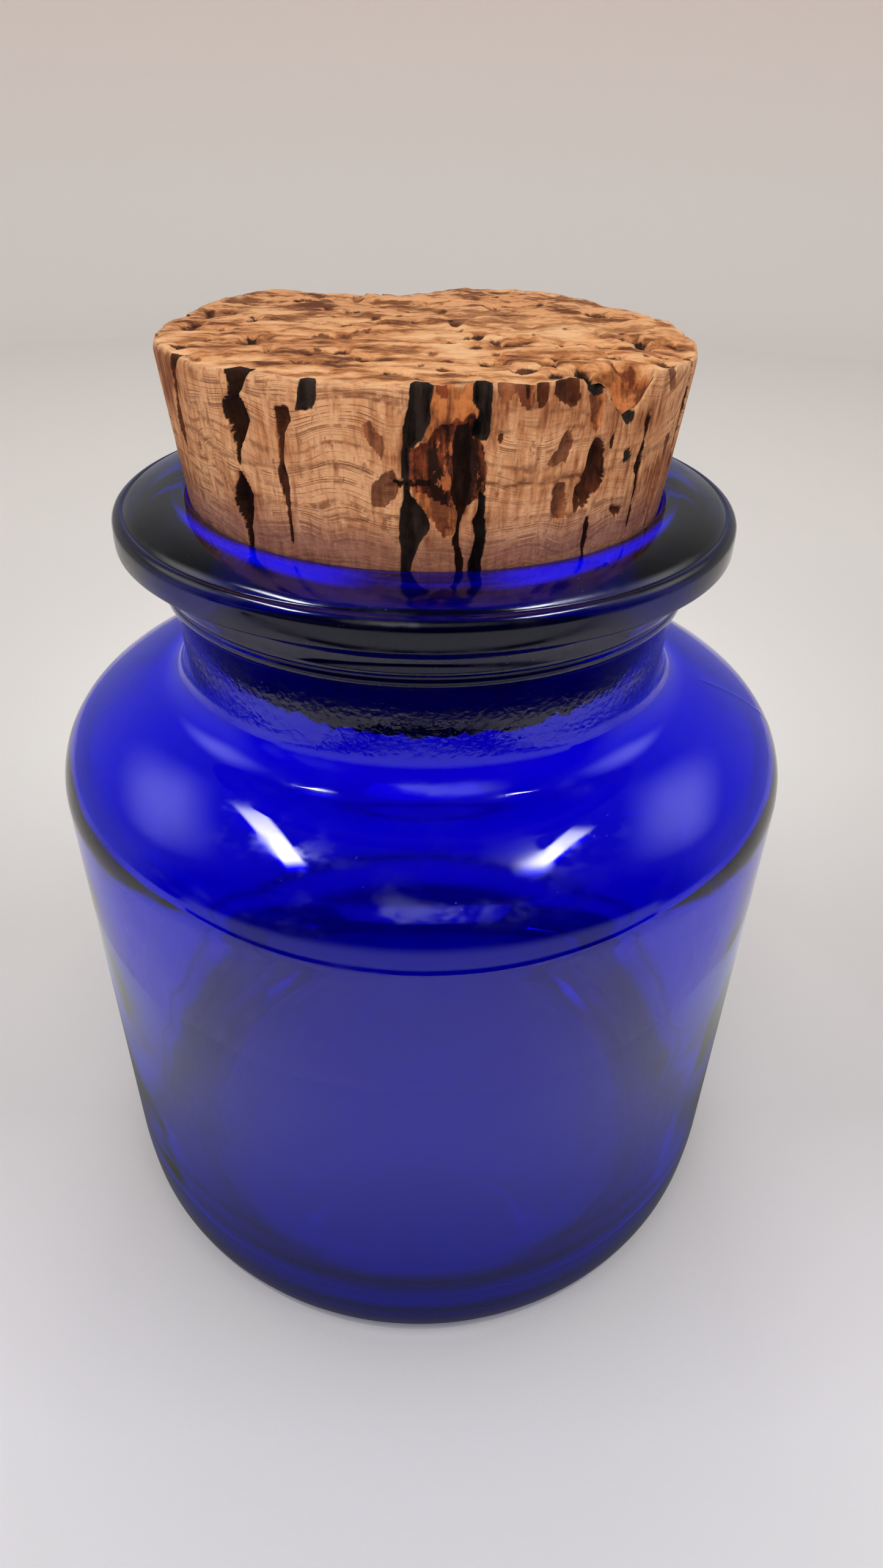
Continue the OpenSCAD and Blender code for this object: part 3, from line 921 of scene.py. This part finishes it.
def carve_side(h, angle, at):
    """How deep the side is cut at each place, and how much of each kind is there."""
    masks = {kind: np.zeros(h.shape) for kind in KINDS}
    cut = np.zeros(h.shape)
    upright = at * (1, 1, 0.45)
    edge = 0.24 * rough(upright, 1.1, 31)
    for depth, stations, kind in listed(PORES) + back_pores() + low_pores():
        away = pore_distance(stations, h, angle, edge * RAGGED.get(kind, 1.0))
        inside = smooth(-0.12, 0.14, away)
        masks[kind] = np.maximum(masks[kind], inside)
        cut = np.maximum(cut, depth * smooth(-0.1, 0.55, away))
    for half, depth, dark, points in LINES:
        away = line_distance(points, h + 0.1 * rough(at, 1.6, 41, 2), angle)
        inside = smooth(half * 1.5, half * 0.3, away)
        masks["line"] = np.maximum(masks["line"], dark * inside)
        cut = np.maximum(cut, depth * inside)
    fibres = rough(at * (1, 1, 0.16), 0.9, 51)
    torn = np.maximum(masks["bark"], masks["fibre"])
    cut = cut + torn * (0.36 * fibres + 0.34 * rough(upright, 1.6, 52, 2))
    cut = cut + 0.035 * rough(at * (1, 1, 0.3), 0.8, 53, 2) + 0.1 * noise(upright, 9.0, 54)
    inside_pores = np.maximum.reduce([masks["dark"], masks["char"], masks["brown"]])
    return cut + inside_pores * 0.22 * rough(upright, 1.0, 55, 2), masks


def side_rim(angle):
    """The height of the rim at each angle."""
    at = around(31, 0.0, np.radians(angle)) * (1, -1, 1)
    rim = round_table(RIM, angle) + 0.16 * rough(at, 2.4, 61)
    heights = np.interp(angle, *zip(*CORNER), left=99, right=99)
    return np.minimum(rim, heights + 0.25 * rough(at, 1.0, 62, 2))


def top_surface(x, y, part, rim):
    """The height of the cork's top, and how much of each kind is there.

    part is how far out each place is, from 0 in the middle to 1 at the rim, and rim
    the height of the rim at its angle.
    """
    at = np.stack([x, y, 0 * x], -1)
    plain = 38.75 - 0.019 * y
    bare = np.minimum(rim, 39.6)
    z = plain + (bare - plain) * np.where(rim < plain - 0.9, smooth(1 - CORNER_REACH, 1, part), part**5)
    worn = 0.45 + 0.55 * smooth(-12, 14, y + 0.5 * x)
    inner = smooth(1.0, 0.965, part)
    z = z + inner * worn * (0.34 * noise(at, 5.5, 71) + 0.26 * noise(at * (0.7, 1, 1), 2.6, 72))
    z = z + inner * (0.05 + 0.07 * worn) * rough(at, 1.2, 73)
    masks = {kind: np.zeros(x.shape) for kind in KINDS}
    edge = 0.42 * rough(at, 1.5, 74)
    for px, py, half_x, half_y, depth, kind in listed(PITS) + small_pits():
        near = 1.0 - np.hypot((x - px) / half_x, (y - py) / half_y)
        away = near * min(half_x, half_y) + edge
        shade = {"dark": 0.9, "fibre": 1.0}.get(kind, 0.8)
        masks[kind] = np.maximum(masks[kind], shade * smooth(-0.3, 0.6, away))
        z = z - inner * depth * smooth(-0.3, 0.8, away)
    fibres = rough(at, 0.8, 75)
    z = z - inner * masks["fibre"] * 0.5 * fibres
    masks["lip"] = smooth(0.955, 0.99, part) * smooth(0.2, -0.2, rough(at, 2.0, 76, 2) - 0.3)
    return z, masks


def small_pits(count=90, seed=5):
    """Many small pits scattered over the top."""
    rng = np.random.default_rng(seed)
    pits = []
    for _ in range(count):
        r, a = 29.5 * math.sqrt(rng.uniform(0, 1)), rng.uniform(0, 2 * math.pi)
        size = rng.uniform(0.3, 0.8)
        kind = rng.choice(["stain", "stain", "brown"])
        pits.append((r * math.sin(a), r * math.cos(a), size, size * rng.uniform(1, 2.2), size * 0.6, kind))
    return pits


def cork_grid():
    """The ring each cell corner of the top's grid is on, and how far along the ring."""
    half = CORK_SIDES // 2
    i, j = np.meshgrid(np.arange(CORK_SIDES + 1), np.arange(CORK_SIDES + 1), indexing="ij")
    a, b = i - half, j - half
    m = np.maximum(abs(a), abs(b))
    along = np.select([b == -m, a == m, b == m], [a + m, 3 * m + b, 5 * m - a], 7 * m - b)
    return m, along


def column_angle(turn):
    """The angle of a column. turn is 0 to 1; the columns are closer at the front."""
    even = turn * 360.0 - 45.0
    return wrapped(even - CROWDING * np.sin(np.radians(even)))


def lower_end(r, a, low):
    """The rings of the cork's lower end, ragged in the middle."""
    rings = np.linspace(0.04, 1, END_RINGS, endpoint=False)[:, None]
    end = around(rings * r, 0.0, a)
    end[..., 2] = low * rings**4 + 0.35 * rough(end, 3.0, 82, 2) * (1 - rings**6)
    return end


def cork_side(angles, rim, low):
    """The cork's side as (radius, places, masks), in rows from the lower end to the rim."""
    part = np.concatenate([
        np.linspace(0, CORK_SPLIT / CORK_L, ROWS_LOW, endpoint=False),
        np.linspace(CORK_SPLIT / CORK_L, 1, ROWS_HIGH + 1),
    ])
    h = low + part[:, None] * (rim - low)
    at = around(cork_r(h), h, np.radians(angles))
    cut, masks = carve_side(h, np.broadcast_to(angles, h.shape), at)
    from_rim, from_low = rim - h, h - low
    masks["lip"] = smooth(0.5, 0.1, from_rim + 0.25 * noise(at, 1.2, 57))
    worn = 0.28 * np.exp(-from_rim / 0.35) + 0.8 * np.exp(-from_low / 0.7)
    r = cork_r(h) - cut - worn * (1 + 0.6 * noise(at, 1.3, 56))
    return r, around(r, h, np.radians(angles)), masks


def cork_top(angles, rim, rim_r, m, along):
    """The cork's top as (places, masks), on the square grid."""
    part = m / (CORK_SIDES // 2)
    angle = column_angle(along / np.maximum(8 * m, 1))
    order = np.argsort(angles)
    edge_r = np.interp(angle, angles[order], rim_r[order], period=360)
    edge_z = np.interp(angle, angles[order], rim[order], period=360)
    plain_r = cork_r(CORK_L) - 0.3
    r = part * plain_r + (edge_r - plain_r) * smooth(0.72, 1, part)
    top = around(r, 0.0, np.radians(angle))
    top[..., 2], masks = top_surface(top[..., 0], top[..., 1], part, edge_z)
    return top, masks


def make_cork():
    """The stopper: its side, its top with the crumbled corner, and its ragged lower end."""
    angles = column_angle(np.arange(CORK_COLUMNS) / CORK_COLUMNS)
    rim = side_rim(angles)
    a = np.radians(angles)
    low = 0.9 * np.clip(rough(around(26, 0.0, a) * (1, -1, 1), 2.5, 81), 0, 2)
    r, side, side_masks = cork_side(angles, rim, low)
    m, along = cork_grid()
    top, top_masks = cork_top(angles, rim, r[-1], m, along)
    end = lower_end(r[0], a, low)
    return join_cork(end, side, top, side_masks, top_masks, m == CORK_SIDES // 2, along)


def join_cork(end, side, top, side_masks, top_masks, on_rim, along):
    """Makes one closed mesh of the lower end, the side and the top, with their masks."""
    rows = END_RINGS + len(side)
    inner = ~on_rim
    parts = [end.reshape(-1, 3), side.reshape(-1, 3), top[inner], [(0.0, 0.0, end[0, :, 2].mean())]]
    verts = np.concatenate(parts)
    faces = ring_faces(rows, CORK_COLUMNS)
    last = len(verts) - 1
    faces += [(last, (j + 1) % CORK_COLUMNS, j) for j in range(CORK_COLUMNS)]
    index = np.zeros(on_rim.shape, int)
    index[on_rim] = (rows - 1) * CORK_COLUMNS + along[on_rim]
    index[inner] = rows * CORK_COLUMNS + np.arange(inner.sum())
    corners = (index[:-1, :-1], index[1:, :-1], index[1:, 1:], index[:-1, 1:])
    faces += np.stack(corners, -1).reshape(-1, 4).tolist()
    verts = (verts + (0, 0, CORK_Z)) * MM
    cork = make_object("stopper_cork", verts, faces)
    lower = np.zeros(END_RINGS * CORK_COLUMNS)
    for kind in KINDS + ("lip",):
        values = [lower, side_masks[kind].ravel(), top_masks[kind][inner], [0.0]]
        set_attribute(cork, kind, np.concatenate(values))
    is_top = np.zeros(len(verts))
    is_top[rows * CORK_COLUMNS:] = 1.0
    is_top[-1] = 0.0
    set_attribute(cork, "top", is_top)
    cork.data.materials.append(cork_material())
    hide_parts("cork_stopper")
    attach(cork, "stopper")
    return cork


def cork_side_colour(s, place, grain, fine):
    """Tan with growth lines; painted shade and bounced blue light make the lower part dusky and purplish, and
    the lowest part is dark brown.
    """
    patch = s.noise(s.where((1, 1, 1.6)), 85, 4, 0.55)
    tone = s.plus(s.times(patch, 0.6), s.times(fine, 0.4))
    stops = [(0.38, (138, 78, 44)), (0.47, (200, 136, 90)), (0.57, (228, 170, 122))]
    side = s.ramp(tone, stops)
    height = s.part(place, "Z")
    wavy = s.plus(height, s.times(s.noise(place, 60, 2), 0.01))
    layers = s.add("CombineXYZ", {"Z": wavy}).outputs[0]
    strata = s.noise(layers, 900, 3, 0.7)
    crest = s.math("ABSOLUTE", s.math("SUBTRACT", strata, 0.5))
    bundles = s.times(s.span(patch, 0.4, 0.58, 0.25, 1), s.span(grain, 0.38, 0.55))
    thin = s.times(s.span(crest, 0.035, 0.008), bundles)
    side = s.mix(s.times(thin, 0.75), side, srgb(124, 70, 42))
    hairs = s.noise(s.where((1, 1, 0.2)), 1100, 2, 0.7)
    side = s.mix(s.times(s.span(hairs, 0.54, 0.7), 0.5), side, srgb(128, 74, 44))
    fleck = s.noise(s.where((1, 1, 0.45)), 520, 4, 0.75)
    side = s.mix(s.times(s.span(fleck, 0.6, 0.68), 0.6), side, srgb(122, 62, 34))
    # Painted shade and bounced blue light: a dusky, purplish tone on the lower part of the side.
    bands = s.noise(layers, 2400, 2)
    dusky = s.mix(s.span(bands, 0.4, 0.6), srgb(112, 70, 62), srgb(158, 106, 84))
    level = s.plus(height, s.times(s.math("SUBTRACT", patch, 0.5), 0.006))
    low = s.span(level, 0.1275, 0.1225)
    side = s.mix(s.times(low, 0.7), side, dusky)
    # Dark brown on the lowest part of the side.
    dark_brown = s.mix(s.span(grain, 0.35, 0.65), srgb(38, 21, 13), srgb(72, 42, 25))
    return s.mix(s.span(level, 0.1186, 0.1162), side, dark_brown)


def cork_top_colour(s, place):
    """Paler orange at the front, browner and patchy toward the back."""
    smear = s.noise(s.where((0.5, 1.2, 1)), 330, 5, 0.65)
    broad = s.noise(place, 90)
    tone = s.plus(s.times(smear, 0.65), s.times(broad, 0.35))
    stops = [(0.38, (104, 54, 24)), (0.455, (190, 120, 66)), (0.52, (232, 168, 112)), (0.61, (248, 198, 146))]
    top = s.ramp(tone, stops)
    depth = s.part(place, "Y")
    brown = s.mix(s.span(smear, 0.42, 0.54), srgb(112, 62, 32), srgb(222, 158, 106))
    return s.mix(s.span(depth, -0.014, 0.024, 0.1, 0.75), top, brown)


# The colours of each kind of mark, dark and light, and how much it covers.
CORK_MARKS = {
    "stain": ((84, 36, 18), (150, 84, 48), 0.85),
    "fibre": ((104, 48, 24), (208, 124, 66), 0.92),
    "bark": ((34, 12, 8), (136, 62, 32), 0.98),
    "brown": ((46, 17, 8), (92, 43, 20), 0.97),
    "dark": ((22, 8, 3), (42, 18, 8), 0.98),
    "char": ((14, 12, 12), (46, 37, 34), 0.98),
}


def cork_material():
    """Cork: its side and its top, the pale worn rim, the cracks, and each kind of mark."""
    s = Shader("natural_cork")
    place = s.where()
    upright = s.where((1, 1, 0.12))
    fine = s.noise(upright, 1500, 3, 0.6)
    grain = s.noise(place, 650, 5, 0.65)
    side = cork_side_colour(s, place, grain, fine)
    colour = s.mix(s.mask("top"), side, cork_top_colour(s, place))
    lip = s.times(s.mask("lip"), s.span(grain, 0.35, 0.6))
    colour = s.mix(s.times(lip, 0.6), colour, srgb(246, 196, 146))
    colour = s.mix(s.mask("line"), colour, srgb(112, 64, 38))
    speck = s.noise(place, 1300)
    ragged = s.times(s.math("SUBTRACT", speck, 0.5), 0.9)
    flecks = s.span(s.noise(s.where((1, 1, 0.5)), 620, 4, 0.7), 0.55, 0.64)
    stripes = s.noise(upright, 560, 4, 0.6)
    stripe = s.span(s.plus(stripes, s.times(ragged, 0.25)), 0.4, 0.6)
    torn = s.times(s.math("SUBTRACT", stripes, 0.5), 3.2)
    for kind, (deep, light, strength) in CORK_MARKS.items():
        mask = s.plus(s.mask(kind), ragged)
        if kind in RAGGED:
            mask = s.math("SUBTRACT", mask, s.times(torn, 0.6))
        mask = s.times(s.span(mask, 0.3, 0.7), s.span(s.mask(kind), 0.02, 0.15))
        shade = s.mix(stripe, srgb(*deep), srgb(*light))
        if kind == "bark":
            shade = s.mix(s.times(flecks, 0.8), shade, srgb(196, 108, 60))
        colour = s.mix(s.times(mask, strength), colour, shade)
    inputs = {
        "Base Color": colour,
        "Roughness": s.span(grain, 0.3, 0.7, 0.72, 0.9),
        "Specular IOR Level": 0.25,
        "Normal": s.bump(grain, 0.0003, s.bump(fine, 0.00014)),
    }
    return s.finish(s.add("BsdfPrincipled", inputs))


# ---- all of it


def main():
    make_stage()
    make_lights()
    make_glass()
    make_cork()
    make_camera()


main()
